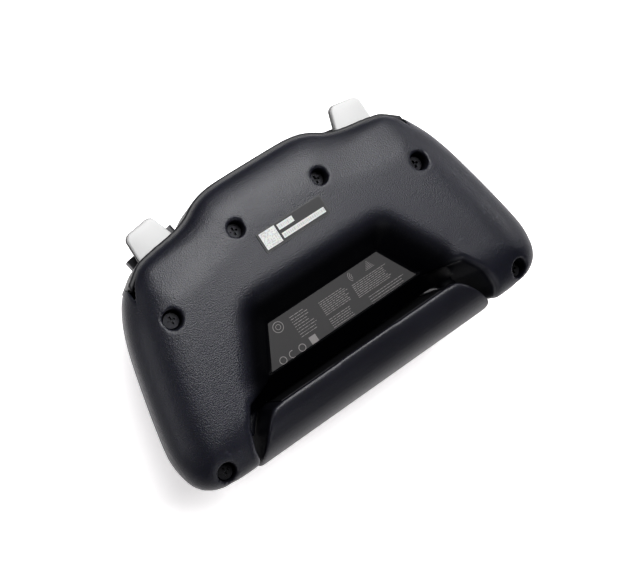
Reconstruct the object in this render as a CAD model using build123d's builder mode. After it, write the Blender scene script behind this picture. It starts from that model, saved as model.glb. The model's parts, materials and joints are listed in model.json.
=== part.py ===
from build123d import *
import os
from math import cos, radians, sin

# A folding two-stick radio controller, lying face down: +Z points out of its underside,
# +Y to the far side with the levers and ports, +X to the grip on the right in that view.
# Z = 0 is the outer face of the folded phone cover. Millimetres.

os.makedirs("parts", exist_ok=True)

# ---- driving dimensions ----
HALF_WIDTH = 76.0        # half of the whole width over the grips
HALF_DEPTH = 43.5        # half of the depth of the shells
HEIGHT = 71.0            # cover face to the crest of the rear shell
FACE_Z = 27.0            # plane of the stick side
PARTING_Z = 40.0         # joint line between face shell and rear shell
WALL = 2.4
RUN_GAP = 0.3            # clearance between pieces that move past each other
PIN_GAP = 0.05           # radial running clearance of pins and rods

HOLLOW_Z = 58.5          # floor of the finger hollow
HOLLOW_EDGE_Y = -21.5    # user-side edge of that floor

BEZEL_PROUD = 1.2
BEZEL_DEPTH = 3.0
BEZEL_HALF = 57.0
BEZEL_Z = (38.0, 64.5)
FAR_TURN = 9.0           # how far the far edge sweeps back on each side, degrees

SCREWS = [               # x, y, seat height, hole diameter
    (17.2, 26.7, 62.0, 5.8),
    (51.2, 12.9, 62.0, 6.6),
    (63.1, -38.3, 57.5, 6.6),
]
SCREW_D = 2.9
SCREW_HEAD_D = 5.3
SCREW_HEAD_H = 2.2
SCREW_TIP_Z = 33.0
BOSS_D = 10.0
POST_D = 6.6

HINGE_Y = 29.5
HINGE_Z = 12.0
HINGE_PIN_D = 3.5
HUB_R = 5.0
LUG_X = (45.6, 50.0)
COVER_HALF = 50.0
COVER_NARROW = 45.0
COVER_H = 11.5
COVER_WALL = 2.2
COVER_USER_Y = -28.0
LINER_Z = (9.6, 11.2)
PAD_TOP_Z = 12.2
LEDGE_Y = 23.2

JAW_RIM_Y = -29.0
JAW_RIM_Z = 67.7
JAW_OUT_Y = -46.0
JAW_END = (50.8, -43.3)  # where the jaw's end meets the grip
JAW_RIM_HALF = 38.0
JAW_FOOT_Z = 22.0        # below this height the jaw is as wide as the cover
JAW_WALL = 2.2
ROD_X = 30.0
ROD_Z = 6.0
ROD_D = 4.0
ROD_INNER_Y = 22.0

STICK_X = 38.0
PIVOT_Z = 34.0
DOME_R = 10.5
STICK_TIP_Z = 14.5
STICK_D = 3.0

LEVER_X = 41.5
LEVER_Z = 59.5
LEVER_AXLE_Y = 29.0
LEVER_BASE_Y = 36.5      # where the tab leaves the far edge
LEVER_TIP_Y = 46.0
LEVER_THICK = 3.0
LEVER_W = (14.2, 12.0)   # width at the slot and at the tip
AXLE_R = 1.25

BUTTON_Y = -13.0
BUTTON_STEP = 14.0
BUTTON_D = 8.0
SHOULDER_X = 40.2
SHOULDER_Z = 43.5
SHOULDER_SIZE = (20.0, 7.0)
SHOULDER_Y = 39.7
SHOULDER_REACH = 9.0

CELL_D = 18.4
CELL_L = 65.0
CELL_Y = 6.0
CELL_Z = 50.0
BOARD_Z = 44.0
BOARD_T = 1.6
USB_A = (-8.0, 49.2)     # x and z of the centre of the port
USB_C = (11.0, 47.5)

# half of the shells' plan outline at the widest level, from the far side round to the user side
HALF_OUTLINE = [
    (0, 43.2), (9, 43.2), (17.3, 43.0), (23.4, 41.4), (29.0, 37.9), (35.5, 36.0), (45.0, 34.8),
    (54.5, 32.6), (60.0, 28.0), (66.1, 16.0), (71.2, -3.7), (75.0, -21.0), (76.0, -29.0),
    (74.4, -37.8), (68.6, -42.7), (60.0, -43.7), (45.0, -43.7), (25.0, -43.7), (0, -43.7),
]
# height, how far the outline draws in sideways, how far it draws in lengthways
LEVELS = [
    (27.0, 9.0, 5.0), (31.0, 5.0, 2.0), (40.0, 1.8, 0.5), (58.0, 0.0, 0.0),
    (65.0, 2.2, 0.0), (68.5, 7.0, 2.5), (71.0, 15.0, 9.0),
]
INNER_LEVELS = [(27.0, 9.0, 5.0), (34.0, 3.6, 1.4), (58.0, 0.6, 0.2), (66.0, 4.2, 1.4), (71.0, 17.0, 11.0)]


def outline(side_inset, end_inset):
    """Closed plan outline, drawn in by the two insets."""
    scale_x = (HALF_WIDTH - side_inset) / HALF_WIDTH
    scale_y = (HALF_DEPTH - end_inset) / HALF_DEPTH
    right = [(x * scale_x, y * scale_y) for x, y in HALF_OUTLINE]
    left = [(-x, y) for x, y in reversed(right[1:-1])]
    return right + left


def envelope(levels, wall):
    """Form of both shells together, drawn in by a wall thickness."""
    rise = (HEIGHT - FACE_Z - 2 * wall) / (HEIGHT - FACE_Z)
    with BuildPart() as form:
        for z, side_inset, end_inset in levels:
            with BuildSketch(Plane.XY.offset(FACE_Z + wall + (z - FACE_Z) * rise)):
                with BuildLine():
                    Spline(*outline(side_inset + wall, end_inset + wall), periodic=True)
                make_face()
        loft(ruled=True)
    return form.part


def hollow_cutter(grow):
    """Finger hollow, from its flat floor up past the crest; grow leaves the wall under it."""
    floor = [(24, -5), (29, -12), (33, HOLLOW_EDGE_Y), (46, -50)]
    crest = [(20, 14), (42, -1), (51, -18), (53.5, -50)]
    with BuildPart() as cutter:
        for height, half in ((HOLLOW_Z - grow, floor), (HEIGHT + 1, crest)):
            right = [(x + grow, y + grow) for x, y in half]
            left = [(-x, y) for x, y in reversed(right)]
            with BuildSketch(Plane.XY.offset(height)):
                Polygon(*(right + left), align=None)
        loft(ruled=True)
    return cutter.part


def bay_cutter(grow):
    """Open bay between the grips, full height, that the cover and jaw close."""
    half = [(33, HOLLOW_EDGE_Y), (45, -24.5), (49.3, -31), (51.1, -38), (51.3, -60)]
    right = [(x + grow, y + grow) for x, y in half]
    left = [(-x, y) for x, y in reversed(right)]
    with BuildPart() as cutter:
        with BuildSketch(Plane.XY.offset(FACE_Z - 5)):
            Polygon(*(right + left), align=None)
        extrude(amount=HEIGHT)
    return cutter.part


def bezel_ring(outer, inner, half, low, high):
    """Band along the far edge between two offsets of the outline."""
    with BuildPart() as ring:
        with BuildSketch(Plane.XY.offset(low)):
            with BuildLine():
                Spline(*outline(-outer, -outer), periodic=True)
            make_face()
            with BuildLine():
                Spline(*outline(inner, inner), periodic=True)
            make_face(mode=Mode.SUBTRACT)
            with Locations((0, 40)):
                Rectangle(2 * half, 40, mode=Mode.INTERSECT)
        extrude(amount=high - low)
    return ring.part


def both_sides(points):
    """The same place on the right and on the left."""
    return [(side * x, y) for x, y in points for side in (1, -1)]


def far_plane(side, x, y, z):
    """Plane on the swept far edge: its x runs along the edge and its z points outward."""
    turn = radians(FAR_TURN)
    return Plane(
        origin=(side * x, y, z),
        x_dir=(cos(turn), -side * sin(turn), 0),
        z_dir=(side * sin(turn), cos(turn), 0),
    )


def save(piece, name):
    piece.label = name
    export_step(piece, f"parts/{name}.step")


# ---- casing ----
SCREW_XY = both_sides([(x, y) for x, y, _, _ in SCREWS])


def casing_half(keep):
    """One shell blank: outer form less the hollow, the bay, the trim band and the inside space."""
    parting = Plane.XY.offset(PARTING_Z)
    low, high = BEZEL_Z
    with BuildPart() as space:
        add(envelope(INNER_LEVELS, WALL))
        split(bisect_by=parting, keep=keep)
        add(hollow_cutter(WALL), mode=Mode.SUBTRACT)
        add(bay_cutter(WALL), mode=Mode.SUBTRACT)
    with BuildPart() as blank:
        add(envelope(LEVELS, 0.0))
        split(bisect_by=parting, keep=keep)
        add(hollow_cutter(0.0), mode=Mode.SUBTRACT)
        add(bay_cutter(0.0), mode=Mode.SUBTRACT)
        add(space.part, mode=Mode.SUBTRACT)
        add(bezel_ring(4.0, 5.0, BEZEL_HALF + 0.15, low - 0.15, high + 0.15), mode=Mode.SUBTRACT)
    return blank.part


def cylinders(places, radius, low, high):
    with BuildPart() as group:
        with BuildSketch(Plane.XY.offset(low)):
            with Locations(*places):
                Circle(radius)
        extrude(amount=high - low)
    return group.part


def rear_shell():
    seat_rib = 3.0
    boss_top = 5.0
    with BuildPart() as bosses:
        for x, y, seat, hole_d in SCREWS:
            add(cylinders(both_sides([(x, y)]), BOSS_D / 2, seat - seat_rib, seat + boss_top))
    with BuildPart() as holes:
        for x, y, seat, hole_d in SCREWS:
            spots = both_sides([(x, y)])
            add(cylinders(spots, hole_d / 2, seat, HEIGHT + 5))
            add(cylinders(spots, SCREW_D / 2 + 0.2, seat - 5, seat + 1))
            add(cylinders(spots, POST_D / 2 + 0.25, PARTING_Z - 1, seat - seat_rib))
    with BuildPart() as shell:
        add(casing_half(Keep.TOP))
        add(bosses.part)
        add(holes.part, mode=Mode.SUBTRACT)
    save(shell.part.solids().sort_by(SortBy.VOLUME)[-1], "rear_shell")


def face_shell():
    post_gap = 0.1
    with BuildPart() as posts:
        for x, y, seat, hole_d in SCREWS:
            add(cylinders(both_sides([(x, y)]), POST_D / 2, FACE_Z + WALL - 0.4, seat - 3.0 - post_gap))
        for side in (1, -1):
            with BuildSketch(Plane.YZ.offset(side * LUG_X[0])):
                with BuildLine():
                    Polyline((19, 29.2), (26, 29.2), (HINGE_Y + HUB_R, HINGE_Z + 2),
                             (HINGE_Y + HUB_R, HINGE_Z), (HINGE_Y - HUB_R, HINGE_Z), (19, 27.2), close=True)
                make_face()
                with Locations((HINGE_Y, HINGE_Z)):
                    Circle(HUB_R)
            extrude(amount=side * (LUG_X[1] - LUG_X[0]))
    with BuildPart() as cuts:
        with BuildSketch(Plane.YZ.offset(-60)):
            with Locations((HINGE_Y, HINGE_Z)):
                Circle(HINGE_PIN_D / 2 + 0.01)
        extrude(amount=120)
        add(cylinders(SCREW_XY, SCREW_D / 2 + 0.01, SCREW_TIP_Z - 1, HEIGHT))
        with Locations(*[(x, 0, FACE_Z + WALL / 2) for x in (STICK_X, -STICK_X)]):
            Cone(8.3, 10.1, WALL + 0.2)
        spots = [(k * BUTTON_STEP, BUTTON_Y) for k in (-1, 0, 1)]
        add(cylinders(spots, BUTTON_D / 2 + RUN_GAP, FACE_Z - 1, FACE_Z + WALL + 1))
        with BuildSketch(Plane.XY.offset(FACE_Z - 1)):
            with Locations((0, BUTTON_Y + 9)):
                SlotOverall(9.0, 2.4)
        extrude(amount=WALL + 2)
    with BuildPart() as shell:
        add(casing_half(Keep.BOTTOM))
        add(posts.part)
        add(cuts.part, mode=Mode.SUBTRACT)
    save(shell.part, "face_shell")


def far_bezel():
    window_gap = RUN_GAP
    swing = 3.2
    with BuildPart() as bezel:
        add(bezel_ring(BEZEL_PROUD, BEZEL_DEPTH - BEZEL_PROUD, BEZEL_HALF, *BEZEL_Z))
        for side in (1, -1):
            with BuildSketch(far_plane(side, LEVER_X, LEVER_BASE_Y, LEVER_Z)):
                Rectangle(LEVER_W[0] + 2 * window_gap + 0.4, 2 * swing)
            extrude(amount=8, both=True, mode=Mode.SUBTRACT)
            with BuildSketch(far_plane(side, SHOULDER_X, SHOULDER_Y, SHOULDER_Z)):
                RectangleRounded(SHOULDER_SIZE[0] + 2 * window_gap, SHOULDER_SIZE[1] + 2 * window_gap, 1.5)
            extrude(amount=8, both=True, mode=Mode.SUBTRACT)
        with BuildSketch(Plane.XZ.offset(-36)):
            with Locations((USB_A[0], USB_A[1])):
                Rectangle(14.0, 6.6)
            with Locations((USB_C[0], USB_C[1])):
                SlotOverall(10.2, 4.2)
        extrude(amount=-12, mode=Mode.SUBTRACT)
    save(bezel.part, "far_bezel")


def shell_screws():
    with BuildPart() as screws:
        for x, y, seat, hole_d in SCREWS:
            with BuildSketch(Plane.XY.offset(seat)):
                with Locations(*both_sides([(x, y)])):
                    Circle(SCREW_HEAD_D / 2)
            extrude(amount=SCREW_HEAD_H)
            with BuildSketch(Plane.XY.offset(SCREW_TIP_Z)):
                with Locations(*both_sides([(x, y)])):
                    Circle(SCREW_D / 2)
            extrude(amount=seat - SCREW_TIP_Z)
            with BuildSketch(Plane.XY.offset(seat + SCREW_HEAD_H - 1.3)):
                with Locations(*both_sides([(x, y)])):
                    Rectangle(2.9, 0.8)
                    Rectangle(0.8, 2.9)
            extrude(amount=2, mode=Mode.SUBTRACT)
    save(screws.part, "shell_screws")


# ---- ports and boards ----
def usb_socket(name, centre, width, height, depth, front_y, tongue):
    """Pressed metal shell, open to the far side, with the contact tongue inside."""
    skin = 0.35
    with BuildPart() as socket:
        with BuildSketch(Plane.XZ.offset(-(front_y - depth))):
            with Locations(centre):
                RectangleRounded(width, height, 0.9)
        extrude(amount=-depth)
        with BuildSketch(Plane.XZ.offset(-(front_y - depth + 1))):
            with Locations(centre):
                RectangleRounded(width - 2 * skin, height - 2 * skin, 0.6)
        extrude(amount=-depth, mode=Mode.SUBTRACT)
        with BuildSketch(Plane.XZ.offset(-(front_y - depth + 0.5))):
            with Locations((centre[0], centre[1] + tongue[2])):
                Rectangle(tongue[0], tongue[1])
        extrude(amount=-(depth - 1.5))
    save(socket.part, name)


def main_board():
    with BuildPart() as board:
        with BuildSketch(Plane.XY.offset(BOARD_Z)):
            with Locations((0, 26.0)):
                RectangleRounded(56, 16, 2)
            with Locations((0, 36)):
                Rectangle(34, 6)
            with Locations(*both_sides([(SCREWS[0][0], SCREWS[0][1])])):
                Circle(POST_D / 2 + 0.4, mode=Mode.SUBTRACT)
        extrude(amount=BOARD_T)
        with BuildSketch(Plane.XY.offset(BOARD_Z + BOARD_T)):
            with Locations((0, 24)):
                Rectangle(12, 9)
            with Locations((-25.2, 24), (25.2, 24)):
                Rectangle(4, 7)
        extrude(amount=1.4)
    save(board.part, "main_board")


def buzzer():
    with BuildPart() as disc:
        with BuildSketch(Plane.XY.offset(BOARD_Z - 4.1)):
            with Locations((0, 30)):
                Circle(6)
        extrude(amount=4.0)
        with BuildSketch(Plane.XY.offset(BOARD_Z - 4.1)):
            with Locations((0, 30)):
                Circle(1.2)
        extrude(amount=1.5, mode=Mode.SUBTRACT)
    save(disc.part, "buzzer")


def antenna_boards():
    for side, name in ((1, "antenna_right"), (-1, "antenna_left")):
        with BuildPart() as board:
            with BuildSketch(Plane.YZ.offset(side * 62.0)):
                with Locations((-12, 46)):
                    RectangleRounded(30, 12, 1)
            extrude(amount=side * 0.8)
        save(board.part, name)


def battery():
    skin = 0.15
    with BuildPart() as cell:
        with BuildSketch(Plane.YZ.offset(-CELL_L / 2)):
            with Locations((CELL_Y, CELL_Z)):
                Circle(CELL_D / 2)
        extrude(amount=CELL_L)
        with BuildSketch(Plane.YZ.offset(CELL_L / 2)):
            with Locations((CELL_Y, CELL_Z)):
                Circle(3.4)
        extrude(amount=1.2)
    save(cell.part, "battery_cell")
    with BuildPart() as cradle:
        with BuildSketch(Plane.YZ.offset(-24)):
            with Locations((CELL_Y, CELL_Z)):
                Circle(CELL_D / 2 + 1.3)
                Circle(CELL_D / 2 + skin, mode=Mode.SUBTRACT)
            with Locations((CELL_Y, CELL_Z - 14)):
                Rectangle(30, 26, mode=Mode.INTERSECT)
        extrude(amount=48)
    save(cradle.part, "battery_cradle")
    with BuildPart() as contacts:
        for side in (1, -1):
            start = side * (CELL_L / 2 + (1.25 if side > 0 else 0.05))
            with BuildSketch(Plane.YZ.offset(start)):
                with Locations((CELL_Y, CELL_Z - 1)):
                    RectangleRounded(8, 9, 1)
            extrude(amount=side * 0.5)
    save(contacts.part, "battery_contacts")


# ---- sticks ----
def stick_base(side, name):
    with BuildPart() as base:
        with BuildSketch(Plane.XY.offset(PIVOT_Z + 2)):
            with Locations((side * STICK_X, 0)):
                RectangleRounded(20, 20, 1.5)
                Rectangle(10.6, 11, mode=Mode.SUBTRACT)
        extrude(amount=3.5)
        for edge in (1, -1):
            with BuildSketch(Plane.YZ.offset(side * STICK_X + edge * 5.5)):
                with Locations((0, PIVOT_Z)):
                    Rectangle(5.0, 5.0)
                with Locations((0, PIVOT_Z + 3)):
                    Rectangle(5.0, 5.0)
            extrude(amount=edge * 1.7)
        with BuildSketch(Plane.YZ.offset(side * STICK_X - 9)):
            with Locations((0, PIVOT_Z)):
                Circle(1.5 + PIN_GAP)
        extrude(amount=18, mode=Mode.SUBTRACT)
    save(base.part, name)


def stick_yoke(side, name):
    with BuildPart() as yoke:
        with Locations((side * STICK_X, 0, PIVOT_Z)):
            Box(8, 8, 4)
            Box(6.4, 3.7, 6, mode=Mode.SUBTRACT)
            for edge in (1, -1):
                with Locations((edge * 5.55, 0, 0)):
                    Cylinder(1.5, 3.1, rotation=(0, 90, 0))
            Cylinder(0.75, 5, rotation=(90, 0, 0))
    save(yoke.part, name)


def stick(side, name):
    """Hub on the cross pin, shaft, and a dished cap with a raised rim."""
    with BuildPart() as body:
        with BuildSketch(Plane.XZ):
            with BuildLine():
                Polyline((0, PIVOT_Z - 1.6), (STICK_D / 2, PIVOT_Z - 1.6), (STICK_D / 2, 23.0),
                         (2.6, 22.0), (2.6, 19.5), (6.2, 18.0), (6.4, 16.0), (5.8, STICK_TIP_Z),
                         (5.0, STICK_TIP_Z), (4.4, 15.3), (0, 15.8), (0, PIVOT_Z - 1.6))
            make_face()
        revolve(axis=Axis.Z)
        with Locations((0, 0, PIVOT_Z)):
            Cylinder(2.0, 3.1, rotation=(90, 0, 0))
            Cylinder(0.75 + PIN_GAP, 6, rotation=(90, 0, 0), mode=Mode.SUBTRACT)
    save(body.part.moved(Location((side * STICK_X, 0, 0))), name)


def stick_dome(side, name):
    with BuildPart() as dome:
        Sphere(DOME_R)
        Sphere(DOME_R - 1.2, mode=Mode.SUBTRACT)
        with Locations((0, 0, DOME_R - 3.4)):
            Box(30, 30, 2 * DOME_R, mode=Mode.SUBTRACT)
        Cylinder(STICK_D / 2, 40, mode=Mode.SUBTRACT)
    save(dome.part.moved(Location((side * STICK_X, 0, PIVOT_Z))), name)


def stick_trims():
    with BuildPart() as rings:
        with BuildSketch(Plane.XY.offset(FACE_Z - 0.8)):
            with Locations((STICK_X, 0), (-STICK_X, 0)):
                Circle(11.4)
                Circle(8.7, mode=Mode.SUBTRACT)
        extrude(amount=0.8)
        chamfer(rings.faces().group_by(Axis.Z)[0].edges(), 0.3)
    save(rings.part, "stick_trims")


def stick_boards():
    with BuildPart() as boards:
        with BuildSketch(Plane.XY.offset(PIVOT_Z + 5.6)):
            with Locations((STICK_X, 0), (-STICK_X, 0)):
                RectangleRounded(18, 24, 1)
        extrude(amount=1.0)
    save(boards.part, "stick_boards")


# ---- buttons ----
BUTTON_NAMES = {-1: "home_button", 0: "power_button", 1: "takeoff_button"}


def face_buttons():
    for place, name in BUTTON_NAMES.items():
        with BuildPart() as button:
            with BuildSketch(Plane.XY.offset(FACE_Z - 1.0)):
                with Locations((place * BUTTON_STEP, BUTTON_Y)):
                    Circle(BUTTON_D / 2)
            extrude(amount=4.4)
            chamfer(button.faces().sort_by(Axis.Z)[0].edges(), 0.4)
            with BuildSketch(Plane.XY.offset(FACE_Z + WALL + 0.2)):
                with Locations((place * BUTTON_STEP, BUTTON_Y)):
                    Circle(BUTTON_D / 2 + 1.0)
            extrude(amount=0.8)
        save(button.part, name)


def button_board():
    with BuildPart() as board:
        with BuildSketch(Plane.XY.offset(FACE_Z + 7.0)):
            with Locations((0, BUTTON_Y)):
                RectangleRounded(42, 9, 1)
        extrude(amount=1.2)
    save(board.part, "button_board")
    with BuildPart() as switches:
        with BuildSketch(Plane.XY.offset(FACE_Z + 5.2)):
            with Locations(*[(k * BUTTON_STEP, BUTTON_Y) for k in (-1, 0, 1)]):
                Rectangle(5.2, 5.2)
        extrude(amount=1.8)
        with BuildSketch(Plane.XY.offset(FACE_Z + 4.5)):
            with Locations(*[(k * BUTTON_STEP, BUTTON_Y) for k in (-1, 0, 1)]):
                Circle(1.3)
        extrude(amount=0.7)
    save(switches.part, "button_switches")


def light_pipe():
    with BuildPart() as pipe:
        with BuildSketch(Plane.XY.offset(FACE_Z - 0.1)):
            with Locations((0, BUTTON_Y + 9)):
                SlotOverall(8.8, 2.2)
        extrude(amount=WALL + 0.1)
        with BuildSketch(Plane.XY.offset(FACE_Z + WALL)):
            with Locations((0, BUTTON_Y + 9)):
                SlotOverall(11.0, 3.4)
        extrude(amount=1.0)
    save(pipe.part, "light_pipe")


def shoulder_button(side, name):
    """Wide button in a window of the far trim band."""
    with BuildPart() as button:
        with BuildSketch(far_plane(side, SHOULDER_X, SHOULDER_Y, SHOULDER_Z)):
            RectangleRounded(SHOULDER_SIZE[0], SHOULDER_SIZE[1], 1.2)
        extrude(amount=-SHOULDER_REACH)
    save(button.part, name)


def shoulder_switches():
    """Switches behind the shoulder buttons, on the root side of their travel."""
    standoff = SHOULDER_REACH + 2.2
    turn = radians(FAR_TURN)
    with BuildPart() as switches:
        for side in (1, -1):
            x = SHOULDER_X - standoff * sin(turn)
            plane = far_plane(side, x, SHOULDER_Y - standoff * cos(turn), SHOULDER_Z)
            with BuildSketch(plane):
                Rectangle(6, 3.5)
            extrude(amount=-3.0)
            with BuildSketch(plane):
                Circle(0.9)
            extrude(amount=0.8)
    save(switches.part, "shoulder_switches")


# ---- levers ----
def lever_frame(side, offset_x=0.0):
    """Plane through the lever's axle: x along the axle, y outward past the far edge."""
    turn = radians(FAR_TURN)
    along = Vector(cos(turn), -side * sin(turn), 0)
    outward = Vector(side * sin(turn), cos(turn), 0)
    middle = Vector(side * LEVER_X, LEVER_BASE_Y, LEVER_Z) - outward * (LEVER_BASE_Y - LEVER_AXLE_Y)
    return Plane(origin=middle + along * offset_x, x_dir=along, z_dir=(0, 0, 1))


def axle_plane(side, offset_x):
    """Plane across the lever's axle."""
    frame = lever_frame(side, offset_x)
    return Plane(origin=frame.origin, x_dir=frame.y_dir, z_dir=frame.x_dir)


def lever(side, name):
    """Flat tab with rounded corners on a barrel that turns on its axle."""
    corner = 2.5
    base, tip = LEVER_W[0] / 2, LEVER_W[1] / 2
    turn = radians(FAR_TURN)
    start = lever_frame(side).origin.Y
    reach = corner + (LEVER_TIP_Y - corner - start - (tip - corner) * sin(turn)) / cos(turn)
    with BuildPart() as piece:
        with BuildSketch(lever_frame(side).offset(-LEVER_THICK / 2)) as tab:
            with BuildLine():
                Polyline((-base, 0), (-base, 8), (-tip, reach), (tip, reach), (base, 8), (base, 0), close=True)
            make_face()
            fillet(tab.vertices().sort_by(Axis.Y)[-2:], corner)
        extrude(amount=LEVER_THICK)
        with BuildSketch(axle_plane(side, -base)):
            Circle(3.0)
        extrude(amount=2 * base)
        with BuildSketch(axle_plane(side, -10)):
            Circle(AXLE_R + PIN_GAP)
        extrude(amount=20, mode=Mode.SUBTRACT)
    save(piece.part, name)


def lever_fittings():
    with BuildPart() as axles:
        for side in (1, -1):
            with BuildSketch(axle_plane(side, -10.4)):
                Circle(AXLE_R)
            extrude(amount=20.8)
    save(axles.part, "lever_axles")
    with BuildPart() as brackets:
        for side in (1, -1):
            for place in (-10.4, 8.4):
                with BuildSketch(axle_plane(side, place)):
                    Rectangle(6, 6)
                    Circle(AXLE_R + 0.02, mode=Mode.SUBTRACT)
                extrude(amount=2.0)
    save(brackets.part, "lever_brackets")
    with BuildPart() as sensors:
        for side in (1, -1):
            with BuildSketch(lever_frame(side, 0).offset(-7.0)):
                RectangleRounded(9, 7, 0.8)
            extrude(amount=2.6)
    save(sensors.part, "lever_sensors")


# ---- flip-up cover ----
def cover_plan(inset, far_y):
    """Plan outline of the cover, narrowed past the hinge lugs."""
    half = [(COVER_HALF, COVER_USER_Y), (COVER_HALF, 12), (COVER_NARROW, 20), (COVER_NARROW, far_y)]
    right = [(x - inset, y) for x, y in half]
    return right + [(-x, y) for x, y in reversed(right)]


def cover_shell():
    ledge = (LEDGE_Y, LEDGE_Y + 2.4)
    with BuildPart() as shell:
        with BuildSketch():
            Polygon(*cover_plan(0, HINGE_Y + HUB_R), align=None)
        extrude(amount=COVER_H)
        edges = shell.edges().filter_by(Axis.Z)
        fillet(edges.group_by(Axis.Y)[-1], 3)
        fillet(shell.faces().sort_by(Axis.Z)[0].edges().filter_by(lambda e: e.center().Y > COVER_USER_Y + 1), 2)
        with BuildSketch(Plane.XY.offset(COVER_WALL)):
            Polygon(*cover_plan(COVER_WALL, LEDGE_Y + 1), align=None)
        extrude(amount=COVER_H, mode=Mode.SUBTRACT)
        with BuildSketch(Plane.YZ.offset(-COVER_NARROW)):
            with Locations((HINGE_Y, HINGE_Z)):
                Circle(HUB_R)
        extrude(amount=2 * COVER_NARROW)
        with BuildSketch(Plane.XY.offset(COVER_H - 4)):
            with Locations((0, (ledge[0] + ledge[1]) / 2)):
                RectangleRounded(42, ledge[1] - ledge[0], 1)
        extrude(amount=12.5)
        with BuildSketch(Plane.XZ.offset(27)):
            with Locations((ROD_X, ROD_Z - 0.3), (-ROD_X, ROD_Z - 0.3)):
                Rectangle(8, 7.4)
        extrude(amount=-8)
        with BuildSketch(Plane.XZ.offset(-COVER_USER_Y + 1)):
            with Locations((ROD_X, ROD_Z), (-ROD_X, ROD_Z)):
                Circle(ROD_D / 2 + PIN_GAP)
        extrude(amount=-20, mode=Mode.SUBTRACT)
        with BuildSketch(Plane.YZ.offset(-60)):
            with Locations((HINGE_Y, HINGE_Z)):
                Circle(HINGE_PIN_D / 2 + PIN_GAP)
        extrude(amount=60 - 34, mode=Mode.SUBTRACT)
        with BuildSketch(Plane.YZ.offset(60)):
            with Locations((HINGE_Y, HINGE_Z)):
                Circle(HINGE_PIN_D / 2 + PIN_GAP)
        extrude(amount=-(60 - 34), mode=Mode.SUBTRACT)
    save(shell.part, "cover_shell")


def cover_liner():
    """Inner plate that the phone rests on; it closes the tray over the guide rods."""
    gap = 0.1
    with BuildPart() as plate:
        with BuildSketch(Plane.XY.offset(LINER_Z[0])):
            Polygon(*cover_plan(COVER_WALL + gap, LEDGE_Y - gap), align=None)
        extrude(amount=LINER_Z[1] - LINER_Z[0])
    save(plate.part, "cover_liner")
    with BuildPart() as pads:
        with BuildSketch(Plane.XY.offset(LINER_Z[1])):
            with Locations((0, 8), (0, -14)):
                SlotOverall(34, 7)
        extrude(amount=PAD_TOP_Z - LINER_Z[1])
    save(pads.part, "phone_pads")
    with BuildPart() as pad:
        with BuildSketch(Plane.XY.offset(LINER_Z[1] + 1)):
            with Locations((0, LEDGE_Y - 0.7)):
                RectangleRounded(36, 1.4, 0.6)
        extrude(amount=6.5)
    save(pad.part, "ledge_pad")


def hinge_fittings():
    pin_x = (35.0, LUG_X[1] + 0.2)
    with BuildPart() as pins:
        for side in (1, -1):
            with BuildSketch(Plane.YZ.offset(side * pin_x[0])):
                with Locations((HINGE_Y, HINGE_Z)):
                    Circle(HINGE_PIN_D / 2)
            extrude(amount=side * (pin_x[1] - pin_x[0]))
            with BuildSketch(Plane.YZ.offset(side * pin_x[1])):
                with Locations((HINGE_Y, HINGE_Z)):
                    Circle(HINGE_PIN_D / 2 + 1)
            extrude(amount=side * 0.8)
    save(pins.part, "hinge_pins")


# ---- sliding jaw ----
def jaw_section(inset):
    """Section of the wrap-around jaw in the YZ plane, open towards +Y when inset."""
    out, top = JAW_OUT_Y + inset, JAW_RIM_Z - 1.6 * inset
    front = JAW_RIM_Y + (1 if inset else 0)
    with BuildLine() as line:
        crown = Spline((front, top), (-38.0 + inset * 0.8, 61.2 - inset), (out, 47.0),
                       tangents=((-1, -0.35), (-0.1, -1)))
        back = Line(crown @ 1, (out, 7.0))
        foot = RadiusArc(back @ 1, (out + 7.0 - inset, inset), 7.0 - inset)
        Polyline(foot @ 1, (front, inset), (front, top))
    return line.line


def jaw_plan(inset, half_rim, half_end):
    right = [(half_rim, JAW_RIM_Y + (2 if inset else 0)), (half_end, JAW_END[1]), (half_end, JAW_OUT_Y - 1)]
    return right + [(-x, y) for x, y in reversed(right)]


def jaw_solid(inset):
    with BuildPart() as solid:
        with BuildSketch(Plane.YZ.offset(-60)):
            add(jaw_section(inset))
            make_face()
        extrude(amount=120)
        with BuildSketch():
            Polygon(*jaw_plan(inset, JAW_RIM_HALF - 1.3 * inset, JAW_END[0] - inset), align=None)
        extrude(amount=HEIGHT, mode=Mode.INTERSECT)
        with BuildSketch(Plane.YZ.offset(-(COVER_HALF - inset))):
            add(jaw_section(inset))
            make_face()
            with Locations((JAW_OUT_Y, JAW_FOOT_Z / 2)):
                Rectangle(60, JAW_FOOT_Z, mode=Mode.INTERSECT)
        extrude(amount=2 * (COVER_HALF - inset))
    return solid.part


def jaw_beam():
    with BuildPart() as beam:
        add(jaw_solid(0))
        add(jaw_solid(JAW_WALL), mode=Mode.SUBTRACT)
        with BuildSketch(Plane.XZ.offset(43)):
            with Locations((ROD_X, ROD_Z), (-ROD_X, ROD_Z)):
                Rectangle(8, 2 * (ROD_Z - 2.0))
        extrude(amount=-6)
        with BuildSketch(Plane.XZ.offset(42)):
            with Locations((ROD_X, ROD_Z), (-ROD_X, ROD_Z)):
                Circle(ROD_D / 2)
        extrude(amount=-30, mode=Mode.SUBTRACT)
    save(beam.part, "jaw_beam")


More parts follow.
